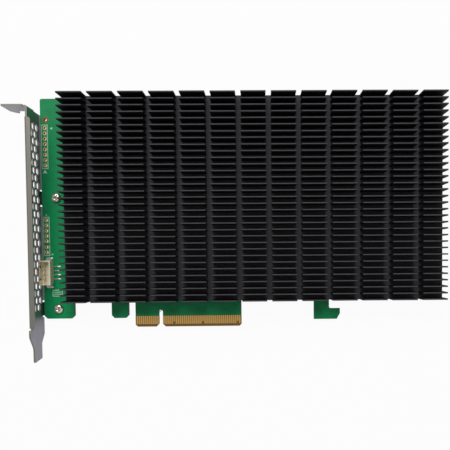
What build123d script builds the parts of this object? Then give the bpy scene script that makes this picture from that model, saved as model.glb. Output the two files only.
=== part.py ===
"""A four-drive NVMe adapter card with a pin-fin heatsink and a perforated slot bracket.

The key notch of the contact edge is at X = 0, the contact edge at Y = 0 and the middle plane of the
board at Z = 0. X runs along the card away from the bracket, Y up from the contacts, Z out of the
component side. Lengths are millimetres.
"""
from build123d import *
import os
from math import cos, radians, tan

os.makedirs("parts", exist_ok=True)

# Circuit board
board_thickness = 1.57
board_left = -56.5
board_right = 135.2
board_top = 110.4
board_lower_edge = 13.3
board_corner = 1.0
tab_bottom = 4.4
tab_chamfer = 1.4
foot_width = 14.6
tab_left = -23.9
tab_width = 8.3
hook_left = 74.9
hook_stem_width = 7.4
hook_reach = 12.75
hook_bottom = 3.0
hook_height = 5.2
hook_throat_radius = 1.0
hook_chamfer_x = 1.6
hook_chamfer_y = 2.7

# Contact edge
key_width = 1.9
key_depth = 8.2
key_chamfer = 1.3
contact_pitch = 1.0
contact_width = 0.7
contact_top = 5.3
contact_foil = 0.04
contact_margin = 0.5
contacts_before_key = 11
contacts_after_key = 38
contact_key_gap = 3.0
finger_corner = 1.0
bevel_height = 1.3
bevel_angle = 20
short_contact_cut = 1.2
short_contacts = (17, 31, 48)

# Heatsink
fin_length = 11.54
fin_pitch_x = 14.0
fin_columns = 13
fin_thickness = 0.7
fin_pitch_y = 3.0
fin_rows = 33
fin_height = 7.7
sink_base = 1.5
sink_gap = 5.2
sink_left = -43.75
sink_bottom = 13.0

# Drive bays
drive_width = 22.0
drive_length = 80.0
drive_plane = 2.45
drive_thickness = 0.8
drive_row_pitch = 27.0
drive_column_pitch = 89.0
first_seat_inset = 3.75
top_row_inset = 13.2
socket_width = 22.4
socket_height = 4.2
socket_behind_seat = 3.2
socket_slot_depth = 5.3
socket_slot_width = 20.1
socket_slot_clearance = 0.1
socket_key_offset = 6.125
socket_key_width = 1.05
socket_contact_pitch = 0.5
socket_contact_width = 0.2
socket_contact_count = 34
socket_tail_length = 1.0
socket_tail_thickness = 0.15
socket_lip = 0.3
drive_standoff_radius = 2.75
drive_standoff_shank = 1.6
drive_thread_radius = 1.0
drive_screw_head_radius = 2.1
drive_screw_head_height = 0.9
drive_screw_length = 2.6
pad_thickness = 0.5
pad_width = 20.0
pad_length = 66.0
pad_from_seat = 8.0

# Heatsink standoffs and screws
spacer_flats = 4.0
spacer_thread_radius = 1.25
spacer_spigot_radius = 1.6
spacer_spigot_depth = 1.0
spacer_side_inset = 4.25
spacer_low_inset = 5.0
spacer_row_margin = 4.5
sink_screw_head_radius = 2.3
sink_screw_head_height = 1.5
sink_screw_head_bevel = 0.5
sink_screw_length = 5.0

# Screws in general
thread_clearance = 0.05
screw_hole_clearance = 0.25
recess_span_share = 0.62
recess_width = 0.55
recess_depth_share = 0.55

# Switch chip
chip_x = 13.5
chip_y = 38.0
chip_size = 27.0
chip_thickness = 1.6
chip_lid_size = 24.0
chip_lid_crown = 18.0
chip_lid_thickness = 1.6
chip_lid_rim = 0.8
chip_lid_corner = 1.0
chip_pad_size = 17.0

# Power stage
phases = 3
phase_first_x = 60.0
phase_pitch = 20.0
inductor_y = 36.0
inductor_size = 10.0
inductor_height = 4.0
inductor_corner = 1.2
terminal_width = 3.0
terminal_thickness = 0.25
terminal_rise = 1.8
terminal_foot = 1.0
regulator_y = 23.5
regulator_size = 5.0
regulator_height = 0.85
bulk_y = 48.0
bulk_spacing = 8.0
bulk_width = 4.3
bulk_length = 7.3
bulk_height = 1.9
bulk_bevel = 0.25

# Small parts on the component side
clock_x = -12.0
clock_y = 26.0
clock_size = 7.0
clock_height = 0.85
crystal_x = -21.5
crystal_y = 26.0
crystal_length = 3.2
crystal_width = 2.5
crystal_base_height = 0.35
crystal_lid_height = 0.35
crystal_lid_step = 0.3
controller_x = -27.0
controller_y = 44.0
controller_size = 5.0
controller_height = 0.85
flash_x = -14.0
flash_y = 44.0
flash_length = 4.9
flash_width = 3.9
flash_height = 1.5
flash_leads_a_side = 4
flash_lead_pitch = 1.27
flash_lead_width = 0.42
flash_lead_thickness = 0.2
flash_lead_reach = 1.05
flash_lead_exit = 0.75
flash_lead_foot = 0.5
small_cap_length = 1.6
small_cap_width = 0.8
small_cap_height = 0.8
cap_from_regulator = 4.6
cap_from_clock = 5.2
cap_from_controller = 4.2
cap_from_flash = 4.2
resistor_length = 1.0
resistor_width = 0.5
resistor_height = 0.35
resistor_pitch = 1.4
resistor_count = 4
resistors_above_clock = 8.2
resistors_below_controller = 5.4
decoupling_count = 6
decoupling_pitch = 3.2
decoupling_length = 1.0
decoupling_width = 0.5
decoupling_height = 0.5

# Header holes in the strip by the bracket
header_pitch = 2.54
header_count = 8
header_x = -54.45
header_top_y = 96.4
alarm_count = 5
alarm_x = -54.6
alarm_top_y = 52.25
link_count = 2
link_top_y = 39.2
hole_radius = 0.5
ring_radius = 0.95
plating = 0.1
pad_foil = 0.05
ground_hole_x = -53.95
ground_hole_y = 100.4
ground_hole_radius = 0.65
ground_ring_radius = 1.45

# Half the width of the band in which a selector looks for an edge or a corner
near = 0.01

# Fan header
fan_x = -54.35
fan_y = 26.8
fan_depth = 5.5
fan_length = 11.9
fan_height = 4.5
fan_wall = 0.7
fan_floor = 1.1
fan_pins = 4
fan_pin_pitch = 2.0
fan_pin_size = 0.5
fan_pin_height = 3.6
fan_pin_offset = -0.75
fan_slot_width = 1.0
fan_slot_depth = 2.6
fan_slot_inset = 2.9
fan_foot_reach = 3.4
fan_foot_thickness = 0.3
anchor_width = 3.0
anchor_reach = 1.1
anchor_thickness = 0.4
anchor_rise = 1.6
anchor_offset = 0.9

# Slot bracket
bracket_thickness = 0.86
bracket_outer_x = -58.05
bracket_near_z = 14.5
bracket_far_z = -3.9
bracket_top = 103.9
bracket_fold_inside = 0.15
bracket_fold_overlap = 0.05
flange_width = 2.8
flange_end_radius = 1.7
flange_top = 98.3
flange_bottom = 1.45
flange_notch = 2.2
blade_shoulder_y = 0.5
blade_full_y = -2.9
blade_near_taper_y = -8.7
blade_far_taper_y = -7.0
blade_taper_round = 4.0
tongue_near_z = 10.2
tongue_far_z = 1.9
tongue_bottom = -15.4
tongue_slant = 1.0
tongue_corner = 0.8
screw_tab_length = 10.3
screw_tab_far_z = 1.7
screw_tab_chamfer_x = 2.2
screw_tab_chamfer_z = 3.6
screw_slot_width = 4.42
screw_slot_centre = 4.9
screw_slot_depth = 3.6
screw_slot_corner = 1.8
neck_cut_z = 1.4
neck_cut_reach = 0.9
vent_flats = 3.2
vent_pitch = 3.95
vent_rows = 26
vent_top_y = 95.8
vent_first_z = 2.4
vent_columns = 3
vent_wall = 0.8
lug_length = 12.0
lug_width = 6.6
lug_relief = 0.8
lug_relief_end = 0.4
lug_corner = 1.5
bracket_screw_x = -49.5
bracket_screw_high_y = 63.0
bracket_screw_low_y = 9.2
bracket_thread_radius = 1.25
bracket_screw_head_radius = 2.3
bracket_screw_head_height = 1.6
bracket_screw_head_round = 0.8
bracket_screw_tip = 1.2

# Faces and places that follow from the sizes above
top = board_thickness / 2
bottom = -board_thickness / 2
foot_right = board_left + foot_width
finger_left = -(contact_key_gap / 2 + (contacts_before_key - 1) * contact_pitch)
finger_left -= contact_width / 2 + contact_margin
finger_right = contact_key_gap / 2 + (contacts_after_key - 1) * contact_pitch
finger_right += contact_width / 2 + contact_margin
bevel_depth = bevel_height * tan(radians(bevel_angle))

sink_length = (fin_columns - 1) * fin_pitch_x + fin_length
sink_width = (fin_rows - 1) * fin_pitch_y + fin_thickness
sink_right = sink_left + sink_length
sink_top = sink_bottom + sink_width
sink_mid = ((sink_left + sink_right) / 2, (sink_bottom + sink_top) / 2)
sink_under_z = top + sink_gap
sink_floor_z = sink_under_z + sink_base

seat_xs = [sink_left + first_seat_inset + i * drive_column_pitch for i in range(2)]
row_ys = [sink_top - top_row_inset - i * drive_row_pitch for i in range(2)]
bays = [(x, y) for y in row_ys for x in seat_xs]

spacer_xs = [
    sink_left + spacer_side_inset,
    (seat_xs[0] + drive_length + drive_standoff_radius + seat_xs[1] - socket_behind_seat) / 2,
    sink_right - spacer_side_inset,
]
spacer_ys = [
    sink_bottom + spacer_low_inset,
    row_ys[1] - drive_width / 2 - spacer_row_margin,
    (row_ys[0] + row_ys[1]) / 2,
]
spacers = [(x, y) for x in spacer_xs for y in spacer_ys]
spacer_screw_radius = spacer_thread_radius - thread_clearance
bracket_screw_radius = bracket_thread_radius - thread_clearance
drive_screw_radius = drive_thread_radius - thread_clearance
bracket_screws_at = [
    (bracket_screw_x, bracket_screw_high_y),
    (bracket_screw_x, bracket_screw_low_y),
]

header_at = [(header_x, header_top_y - i * header_pitch) for i in range(header_count)]
alarm_at = [(alarm_x, alarm_top_y - i * header_pitch) for i in range(alarm_count)]
link_at = [(alarm_x, link_top_y - i * header_pitch) for i in range(link_count)]
ground_at = [(ground_hole_x, ground_hole_y)]
phase_xs = [phase_first_x + i * phase_pitch for i in range(phases)]


def save(piece, name):
    """Label a finished piece and write it to its own file."""
    piece.part.label = name
    export_step(piece.part, f"parts/{name}.step")


def box_sketch(x0, x1, y0, y1, mode=Mode.ADD):
    """A rectangle between two corners, on the open sketch."""
    with Locations(((x0 + x1) / 2, (y0 + y1) / 2)):
        Rectangle(x1 - x0, y1 - y0, mode=mode)


def cross_recess(face_z, depth, places, head_radius):
    """Cut a cross-shaped driver recess into screw heads, from their face and along Z by the depth."""
    with BuildSketch(Plane.XY.offset(face_z)) as crosses:
        with Locations(*places):
            Rectangle(2 * head_radius * recess_span_share, recess_width)
            Rectangle(recess_width, 2 * head_radius * recess_span_share)
    extrude(crosses.sketch, amount=depth, mode=Mode.SUBTRACT)


def folded_edge(plane, corner_x, corner_y, leg_x, leg_y, length):
    """Add an L-shaped fold of the sheet to the open part, along the plane's normal.

    The corner is the section's sharp outer one, and the signs of the two legs say which way they run.
    """
    step_x = bracket_thickness if leg_x > 0 else -bracket_thickness
    step_y = bracket_thickness if leg_y > 0 else -bracket_thickness
    with BuildSketch(plane) as section:
        with BuildLine():
            Polyline(
                (corner_x, corner_y),
                (corner_x + leg_x, corner_y),
                (corner_x + leg_x, corner_y + step_y),
                (corner_x + step_x, corner_y + step_y),
                (corner_x + step_x, corner_y + leg_y),
                (corner_x, corner_y + leg_y),
                close=True,
            )
        make_face()
        outer = vertices().sort_by_distance((corner_x, corner_y))[0]
        inner = vertices().sort_by_distance((corner_x + step_x, corner_y + step_y))[0]
        fillet(outer, radius=fold_outside)
        fillet(inner, radius=bracket_fold_inside)
    extrude(section.sketch, amount=length)


# Circuit board: one outline with its foot, tab, contact edge, key notch and hook
with BuildPart() as pcb:
    with BuildSketch(Plane.XY.offset(bottom)):
        with BuildLine():
            Polyline(
                (board_left, tab_bottom + tab_chamfer),
                (board_left + tab_chamfer, tab_bottom),
                (foot_right - tab_chamfer, tab_bottom),
                (foot_right, tab_bottom + tab_chamfer),
                (foot_right, board_lower_edge),
                (tab_left, board_lower_edge),
                (tab_left, tab_bottom + tab_chamfer),
                (tab_left + tab_chamfer, tab_bottom),
                (tab_left + tab_width - tab_chamfer, tab_bottom),
                (tab_left + tab_width, tab_bottom + tab_chamfer),
                (tab_left + tab_width, board_lower_edge),
                (finger_left, board_lower_edge),
                (finger_left, finger_corner),
                (finger_left + finger_corner, 0),
                (-key_width / 2 - key_chamfer, 0),
                (-key_width / 2, key_chamfer),
                (-key_width / 2, key_depth - key_width / 2),
                (key_width / 2, key_depth - key_width / 2),
                (key_width / 2, key_chamfer),
                (key_width / 2 + key_chamfer, 0),
                (finger_right - finger_corner, 0),
                (finger_right, finger_corner),
                (finger_right, board_lower_edge),
                (hook_left, board_lower_edge),
                (hook_left, hook_bottom),
                (hook_left + hook_reach - hook_chamfer_x, hook_bottom),
                (hook_left + hook_reach, hook_bottom + hook_chamfer_y),
                (hook_left + hook_reach, hook_bottom + hook_height),
                (hook_left + hook_stem_width, hook_bottom + hook_height),
                (hook_left + hook_stem_width, board_lower_edge),
                (board_right, board_lower_edge),
                (board_right, board_top),
                (board_left, board_top),
                close=True,
            )
        make_face()
        upper_corners = vertices().filter_by_position(Axis.Y, board_top - near, board_top + near)
        fillet(upper_corners, radius=board_corner)
        throat = vertices().sort_by_distance(
            (hook_left + hook_stem_width, hook_bottom + hook_height)
        )[0]
        fillet(throat, radius=hook_throat_radius)
        with Locations((0, key_depth - key_width / 2)):
            Circle(key_width / 2, mode=Mode.SUBTRACT)
        with Locations(*bracket_screws_at):
            Circle(bracket_screw_radius + screw_hole_clearance, mode=Mode.SUBTRACT)
        with Locations(*spacers):
            Circle(spacer_screw_radius + screw_hole_clearance, mode=Mode.SUBTRACT)
        with Locations(*[(x + drive_length, y) for x, y in bays]):
            Circle(drive_standoff_shank, mode=Mode.SUBTRACT)
        with Locations(*header_at, *alarm_at, *link_at):
            Circle(hole_radius + plating, mode=Mode.SUBTRACT)
        with Locations(*ground_at):
            Circle(ground_hole_radius + plating, mode=Mode.SUBTRACT)
    extrude(amount=board_thickness)
    with BuildSketch(Plane.YZ.offset(finger_left)):
        for side in (1, -1):
            with BuildLine():
                Polyline(
                    (0, side * top),
                    (bevel_height, side * top),
                    (0, side * (top - bevel_depth)),
                    close=True,
                )
            make_face()
    extrude(amount=finger_right - finger_left, mode=Mode.SUBTRACT)
save(pcb, "pcb")

# Edge contacts: flat gold pads on each face, numbered from the bracket end
contact_xs = [
    -contact_key_gap / 2 - (contacts_before_key - 1 - i) * contact_pitch
    for i in range(contacts_before_key)
]
contact_xs += [contact_key_gap / 2 + i * contact_pitch for i in range(contacts_after_key)]
for face_name, face_z in (("component_side", top), ("solder_side", bottom - contact_foil)):
    with BuildPart() as edge_contacts:
        with BuildSketch(Plane.XY.offset(face_z)):
            for number, x in enumerate(contact_xs, start=1):
                is_short = number == 1 if face_z < 0 else number in short_contacts
                low = bevel_height + (short_contact_cut if is_short else 0)
                box_sketch(x - contact_width / 2, x + contact_width / 2, low, contact_top)
        extrude(amount=contact_foil)
    save(edge_contacts, f"edge_contacts_{face_name}")

# Heatsink: a comb profile drawn out along X, then cross-cut into a grid of plate fins. Its flat
# underside has blind seats for the spacers
with BuildPart() as heatsink:
    with BuildSketch(Plane.YZ.offset(sink_left)):
        box_sketch(sink_bottom, sink_top, sink_under_z, sink_floor_z + fin_height)
        with Locations((sink_mid[1], sink_floor_z + fin_height / 2)):
            with GridLocations(fin_pitch_y, 1, fin_rows - 1, 1):
                Rectangle(fin_pitch_y - fin_thickness, fin_height, mode=Mode.SUBTRACT)
    extrude(amount=sink_length)
    with BuildSketch(Plane.XY.offset(sink_floor_z)):
        with Locations(sink_mid):
            with GridLocations(fin_pitch_x, 1, fin_columns - 1, 1):
                Rectangle(fin_pitch_x - fin_length, sink_width)
    extrude(amount=fin_height, mode=Mode.SUBTRACT)
    with BuildSketch(Plane.XY.offset(sink_under_z)):
        with Locations(*spacers):
            Circle(spacer_spigot_radius)
    extrude(amount=spacer_spigot_depth, mode=Mode.SUBTRACT)
save(heatsink, "heatsink")

# Heatsink spacers: hexagonal posts with a spigot pressed into the base and a threaded bore
with BuildPart() as heatsink_spacers:
    with BuildSketch(Plane.XY.offset(top)):
        with Locations(*spacers):
            RegularPolygon(spacer_flats / 2, 6, major_radius=False)
    extrude(amount=sink_gap)
    with BuildSketch(Plane.XY.offset(sink_under_z)):
        with Locations(*spacers):
            Circle(spacer_spigot_radius)
    extrude(amount=spacer_spigot_depth)
    with BuildSketch(Plane.XY.offset(top)):
        with Locations(*spacers):
            Circle(spacer_thread_radius)
    extrude(amount=sink_gap, mode=Mode.SUBTRACT)
save(heatsink_spacers, "heatsink_spacers")

# Heatsink screws: pan heads against the solder side
with BuildPart() as heatsink_screws:
    head_face = bottom - sink_screw_head_height
    with BuildSketch(Plane.XY.offset(head_face)):
        with Locations(*spacers):
            Circle(sink_screw_head_radius)
    extrude(amount=sink_screw_head_height)
    rims = edges().filter_by(GeomType.CIRCLE).group_by(Axis.Z)[0]
    chamfer(rims, length=sink_screw_head_bevel)
    with BuildSketch(Plane.XY.offset(bottom)):
        with Locations(*spacers):
            Circle(spacer_screw_radius)
    extrude(amount=sink_screw_length)
    recess_depth = sink_screw_head_height * recess_depth_share
    cross_recess(head_face, recess_depth, spacers, sink_screw_head_radius)
save(heatsink_screws, "heatsink_screws")

# Drive sockets: a low housing with the slot that a drive's edge slides into, and its key rib
slot_low = drive_plane - socket_slot_clearance
slot_high = drive_plane + drive_thickness + socket_slot_clearance
for number, (seat_x, row_y) in enumerate(bays, start=1):
    front_x = seat_x + socket_slot_depth
    back_x = seat_x - socket_behind_seat
    with BuildPart() as drive_socket:
        with BuildSketch(Plane.XY.offset(top)):
            box_sketch(back_x, front_x, row_y - socket_width / 2, row_y + socket_width / 2)
        extrude(amount=socket_height)
        with BuildSketch(Plane.YZ.offset(seat_x)):
            with Locations((row_y, top + (slot_low + slot_high) / 2)):
                Rectangle(socket_slot_width, slot_high - slot_low)
            with Locations((row_y - socket_key_offset, top + (slot_low + slot_high) / 2)):
                Rectangle(socket_key_width, slot_high - slot_low, mode=Mode.SUBTRACT)
        extrude(amount=socket_slot_depth, mode=Mode.SUBTRACT)
        mouth = edges().filter_by(Axis.Y).filter_by_position(Axis.X, front_x - near, front_x + near)
        lips = mouth.filter_by_position(Axis.Z, top + slot_low - near, top + slot_high + near)
        chamfer(lips, length=socket_lip)
    save(drive_socket, f"drive_socket_{number}")
    with BuildPart() as socket_contacts:
        with BuildSketch(Plane.XY.offset(top)):
            with Locations((back_x - socket_tail_length / 2, row_y)):
                with GridLocations(1, socket_contact_pitch, 1, socket_contact_count):
                    Rectangle(socket_tail_length, socket_contact_width)
        extrude(amount=socket_tail_thickness)
    save(socket_contacts, f"socket_contacts_{number}")

# Drive standoffs: round posts set in the board, threaded for the drive screw
for number, (seat_x, row_y) in enumerate(bays, start=1):
    at = (seat_x + drive_length, row_y)
    with BuildPart() as drive_standoff:
        with BuildSketch(Plane.XY.offset(top)):
            with Locations(at):
                Circle(drive_standoff_radius)
        extrude(amount=drive_plane)
        with BuildSketch(Plane.XY.offset(bottom)):
            with Locations(at):
                Circle(drive_standoff_shank)
        extrude(amount=board_thickness)
        with BuildSketch(Plane.XY.offset(bottom)):
            with Locations(at):
                Circle(drive_thread_radius)
        extrude(amount=board_thickness + drive_plane, mode=Mode.SUBTRACT)
    save(drive_standoff, f"drive_standoff_{number}")

# Drive screws, kept in the standoffs while no drive is fitted
drive_screws_at = [(x + drive_length, y) for x, y in bays]
with BuildPart() as drive_screws:
    head_base = top + drive_plane
    with BuildSketch(Plane.XY.offset(head_base)):
        with Locations(*drive_screws_at):
            Circle(drive_screw_head_radius)
    extrude(amount=drive_screw_head_height)
    with BuildSketch(Plane.XY.offset(head_base)):
        with Locations(*drive_screws_at):
            Circle(drive_screw_radius)
    extrude(amount=-drive_screw_length)
    head_face = head_base + drive_screw_head_height
    recess_depth = drive_screw_head_height * recess_depth_share
    cross_recess(head_face, -recess_depth, drive_screws_at, drive_screw_head_radius)
save(drive_screws, "drive_screws")

# Thermal pads stuck under the heatsink, one over each drive
for number, (seat_x, row_y) in enumerate(bays, start=1):
    pad_x = seat_x + pad_from_seat
    with BuildPart() as drive_pad:
        with BuildSketch(Plane.XY.offset(sink_under_z - pad_thickness)):
            box_sketch(pad_x, pad_x + pad_length, row_y - pad_width / 2, row_y + pad_width / 2)
        extrude(amount=pad_thickness)
    save(drive_pad, f"drive_pad_{number}")

# Switch chip: substrate, stepped metal lid, and the thick pad that fills the rest to the heatsink
with BuildPart() as switch_substrate:
    with BuildSketch(Plane.XY.offset(top)):
        with Locations((chip_x, chip_y)):
            Rectangle(chip_size, chip_size)
    extrude(amount=chip_thickness)
save(switch_substrate, "switch_substrate")

with BuildPart() as switch_lid:
    with BuildSketch(Plane.XY.offset(top + chip_thickness)):
        with Locations((chip_x, chip_y)):
            RectangleRounded(chip_lid_size, chip_lid_size, chip_lid_corner)
    extrude(amount=chip_lid_rim)
    with BuildSketch(Plane.XY.offset(top + chip_thickness + chip_lid_rim)):
        with Locations((chip_x, chip_y)):
            RectangleRounded(chip_lid_crown, chip_lid_crown, chip_lid_corner)
    extrude(amount=chip_lid_thickness - chip_lid_rim)
save(switch_lid, "switch_lid")

with BuildPart() as switch_pad:
    with BuildSketch(Plane.XY.offset(top + chip_thickness + chip_lid_thickness)):
        with Locations((chip_x, chip_y)):
            Rectangle(chip_pad_size, chip_pad_size)
    extrude(amount=sink_gap - chip_thickness - chip_lid_thickness)
save(switch_pad, "switch_pad")

# Power stage: each phase has an inductor with end clips and a regulator beside it
for number, phase_x in enumerate(phase_xs, start=1):
    with BuildPart() as power_inductor:
        with BuildSketch(Plane.XY.offset(top)):
            with Locations((phase_x, inductor_y)):
                Rectangle(inductor_size, inductor_size)
            chamfer(vertices(), length=inductor_corner)
        extrude(amount=inductor_height)
    save(power_inductor, f"power_inductor_{number}")
    with BuildPart() as buck_regulator:
        with BuildSketch(Plane.XY.offset(top)):
            with Locations((phase_x, regulator_y)):
                Rectangle(regulator_size, regulator_size)
        extrude(amount=regulator_height)
    save(buck_regulator, f"buck_regulator_{number}")

with BuildPart() as inductor_clips:
    with BuildSketch(Plane.XZ.offset(-inductor_y - terminal_width / 2)):
        for phase_x in phase_xs:
            for side in (-1, 1):
                wall_x = phase_x + side * inductor_size / 2
                foot_x = wall_x + side * terminal_foot
                skin_x = wall_x + side * terminal_thickness
                with BuildLine():
                    Polyline(
                        (wall_x, top),
                        (foot_x, top),
                        (foot_x, top + terminal_thickness),
                        (skin_x, top + terminal_thickness),
                        (skin_x, top + terminal_rise),
                        (wall_x, top + terminal_rise),
                        close=True,
                    )
                make_face()
    extrude(amount=terminal_width)
save(inductor_clips, "inductor_clips")

with BuildPart() as bulk_capacitors:
    with BuildSketch(Plane.XY.offset(top)):
        with Locations(*[(x, bulk_y) for x in phase_xs]):
            with GridLocations(bulk_spacing, 1, 2, 1):
                Rectangle(bulk_width, bulk_length)
    extrude(amount=bulk_height)
    rims = edges().group_by(Axis.Z)[-1]
    chamfer(rims, length=bulk_bevel)
save(bulk_capacitors, "bulk_capacitors")

# Clock buffer, crystal, controller and flash chip to the left of the switch
with BuildPart() as clock_buffer:
    with BuildSketch(Plane.XY.offset(top)):
        with Locations((clock_x, clock_y)):
            Rectangle(clock_size, clock_size)
    extrude(amount=clock_height)
save(clock_buffer, "clock_buffer")

with BuildPart() as crystal:
    with BuildSketch(Plane.XY.offset(top)):
        with Locations((crystal_x, crystal_y)):
            Rectangle(crystal_width, crystal_length)
    extrude(amount=crystal_base_height)
    with BuildSketch(Plane.XY.offset(top + crystal_base_height)):
        with Locations((crystal_x, crystal_y)):
            Rectangle(crystal_width - crystal_lid_step, crystal_length - crystal_lid_step)
    extrude(amount=crystal_lid_height)
save(crystal, "crystal")

with BuildPart() as fan_controller:
    with BuildSketch(Plane.XY.offset(top)):
        with Locations((controller_x, controller_y)):
            Rectangle(controller_size, controller_size)
    extrude(amount=controller_height)
save(fan_controller, "fan_controller")

with BuildPart() as flash_chip:
    with BuildSketch(Plane.XY.offset(top)):
        with Locations((flash_x, flash_y)):
            Rectangle(flash_length, flash_width)
    extrude(amount=flash_height)
save(flash_chip, "flash_chip")

# Flash chip leads: S-shaped strips out of both long sides
with BuildPart() as flash_leads:
    for lead in range(flash_leads_a_side):
        lead_x = flash_x + (lead - (flash_leads_a_side - 1) / 2) * flash_lead_pitch
        with BuildSketch(Plane.YZ.offset(lead_x - flash_lead_width / 2)):
            for side in (-1, 1):
                body_y = flash_y + side * flash_width / 2
                tip_y = body_y + side * flash_lead_reach
                knee_y = tip_y - side * flash_lead_foot
                exit_z = top + flash_lead_exit
                with BuildLine():
                    Polyline(
                        (tip_y, top),
                        (tip_y, top + flash_lead_thickness),
                        (knee_y, top + flash_lead_thickness),
                        (knee_y, exit_z),
                        (body_y, exit_z),
                        (body_y, exit_z - flash_lead_thickness),
                        (knee_y - side * flash_lead_thickness, exit_z - flash_lead_thickness),
                        (knee_y - side * flash_lead_thickness, top),
                        close=True,
                    )
                make_face()
        extrude(amount=flash_lead_width)
save(flash_leads, "flash_leads")

# Small capacitors round the clock buffer, the regulators and the controller
small_caps_at = [(x + side * cap_from_regulator, regulator_y) for x in phase_xs for side in (-1, 1)]
small_caps_at += [(clock_x, clock_y + side * cap_from_clock) for side in (-1, 1)]
small_caps_at += [(controller_x + side * cap_from_controller, controller_y) for side in (-1, 1)]
small_caps_at += [(flash_x + cap_from_flash, flash_y)]
with BuildPart() as ceramic_capacitors:
    with BuildSketch(Plane.XY.offset(top)):
        with Locations(*small_caps_at):
            Rectangle(small_cap_width, small_cap_length)
    extrude(amount=small_cap_height)
save(ceramic_capacitors, "ceramic_capacitors")

with BuildPart() as chip_resistors:
    with BuildSketch(Plane.XY.offset(top)):
        with Locations((clock_x, clock_y + resistors_above_clock)):
            with GridLocations(resistor_pitch, 1, resistor_count, 1):
                Rectangle(resistor_width, resistor_length)
        with Locations((controller_x, controller_y - resistors_below_controller)):
            with GridLocations(resistor_pitch, 1, resistor_count, 1):
                Rectangle(resistor_width, resistor_length)
    extrude(amount=resistor_height)
save(chip_resistors, "chip_resistors")

# Decoupling capacitors on the solder side, under the switch
with BuildPart() as decoupling_capacitors:
    with BuildSketch(Plane.XY.offset(bottom - decoupling_height)):
        with Locations((chip_x, chip_y)):
            with GridLocations(decoupling_pitch, decoupling_pitch, decoupling_count, decoupling_count):
                Rectangle(decoupling_width, decoupling_length)
    extrude(amount=decoupling_height)
save(decoupling_capacitors, "decoupling_capacitors")

# Plated holes: a sleeve through the board with a flat ring on each face
rings = (
    ("header_rings", header_at, hole_radius, ring_radius),
    ("alarm_rings", alarm_at + link_at, hole_radius, ring_radius),
    ("ground_ring", ground_at, ground_hole_radius, ground_ring_radius),
)
for ring_name, places, bore_radius, pad_radius in rings:
    with BuildPart() as plated_rings:
        for pad_z in (bottom - pad_foil, top):
            with BuildSketch(Plane.XY.offset(pad_z)):
                with Locations(*places):
                    Circle(pad_radius)
            extrude(amount=pad_foil)
        with BuildSketch(Plane.XY.offset(bottom)):
            with Locations(*places):
                Circle(bore_radius + plating)
        extrude(amount=board_thickness)
        with BuildSketch(Plane.XY.offset(bottom - pad_foil)):
            with Locations(*places):
                Circle(bore_radius)
        extrude(amount=board_thickness + 2 * pad_foil, mode=Mode.SUBTRACT)
    save(plated_rings, ring_name)

# Fan header: an open box with a keying slot in its lower wall and two in its bracket-side wall
fan_left = fan_x - fan_depth / 2
fan_right = fan_x + fan_depth / 2
fan_low = fan_y - fan_length / 2
fan_high = fan_y + fan_length / 2
fan_rim_z = top + fan_height
with BuildPart() as fan_header_housing:
    with BuildSketch(Plane.XY.offset(top)):
        box_sketch(fan_left, fan_right, fan_low, fan_high)
    extrude(amount=fan_height)
    with BuildSketch(Plane.XY.offset(top + fan_floor)):
        box_sketch(fan_left + fan_wall, fan_right - fan_wall, fan_low + fan_wall, fan_high - fan_wall)
    extrude(amount=fan_height - fan_floor, mode=Mode.SUBTRACT)
    with BuildSketch(Plane.XY.offset(fan_rim_z)):
        box_sketch(fan_x, fan_x + fan_slot_width, fan_low, fan_low + fan_wall)
        for slot_y in (fan_low + fan_slot_inset, fan_high - fan_slot_inset):
            box_sketch(
                fan_left, fan_left + fan_wall,
                slot_y - fan_slot_width / 2, slot_y + fan_slot_width / 2,
            )
    extrude(amount=-fan_slot_depth, mode=Mode.SUBTRACT)
    pin_x = fan_x + fan_pin_offset
    with BuildSketch(Plane.XY.offset(top + fan_pin_size)):
        with Locations((pin_x, fan_y)):
            with GridLocations(1, fan_pin_pitch, 1, fan_pins):
                Rectangle(fan_pin_size, fan_pin_size)
    extrude(amount=fan_height, mode=Mode.SUBTRACT)
    with BuildSketch(Plane.XY.offset(top)):
        with Locations(((pin_x - fan_pin_size / 2 + fan_right) / 2, fan_y)):
            with GridLocations(1, fan_pin_pitch, 1, fan_pins):
                Rectangle(fan_right - pin_x + fan_pin_size / 2, fan_pin_size)
    extrude(amount=fan_pin_size, mode=Mode.SUBTRACT)
save(fan_header_housing, "fan_header_housing")

with BuildPart() as fan_header_pins:
    pin_x = fan_x + fan_pin_offset
    with BuildSketch(Plane.XY.offset(top)):
        with Locations((pin_x, fan_y)):
            with GridLocations(1, fan_pin_pitch, 1, fan_pins):
                Rectangle(fan_pin_size, fan_pin_size)
    extrude(amount=fan_pin_height)
    with BuildSketch(Plane.XY.offset(top)):
        with Locations(((pin_x + fan_right) / 2, fan_y)):
            with GridLocations(1, fan_pin_pitch, 1, fan_pins):
                Rectangle(fan_right - pin_x, fan_pin_size)
    extrude(amount=fan_pin_size)
    with BuildSketch(Plane.XY.offset(top)):
        with Locations((fan_right + fan_foot_reach / 2, fan_y)):
            with GridLocations(1, fan_pin_pitch, 1, fan_pins):
                Rectangle(fan_foot_reach, fan_pin_size)
    extrude(amount=fan_foot_thickness)
save(fan_header_pins, "fan_header_pins")

with BuildPart() as fan_header_anchors:
    anchor_x = fan_x + anchor_offset
    for side, wall_y in ((1, fan_high), (-1, fan_low)):
        with BuildSketch(Plane.YZ.offset(anchor_x - anchor_width / 2)):
            with BuildLine():
                Polyline(
                    (wall_y, top),
                    (wall_y + side * anchor_reach, top),
                    (wall_y + side * anchor_reach, top + anchor_thickness),
                    (wall_y + side * anchor_thickness, top + anchor_thickness),
                    (wall_y + side * anchor_thickness, top + anchor_rise),
                    (wall_y, top + anchor_rise),
                    close=True,
                )
            make_face()
        extrude(amount=anchor_width)
save(fan_header_anchors, "fan_header_anchors")

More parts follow.
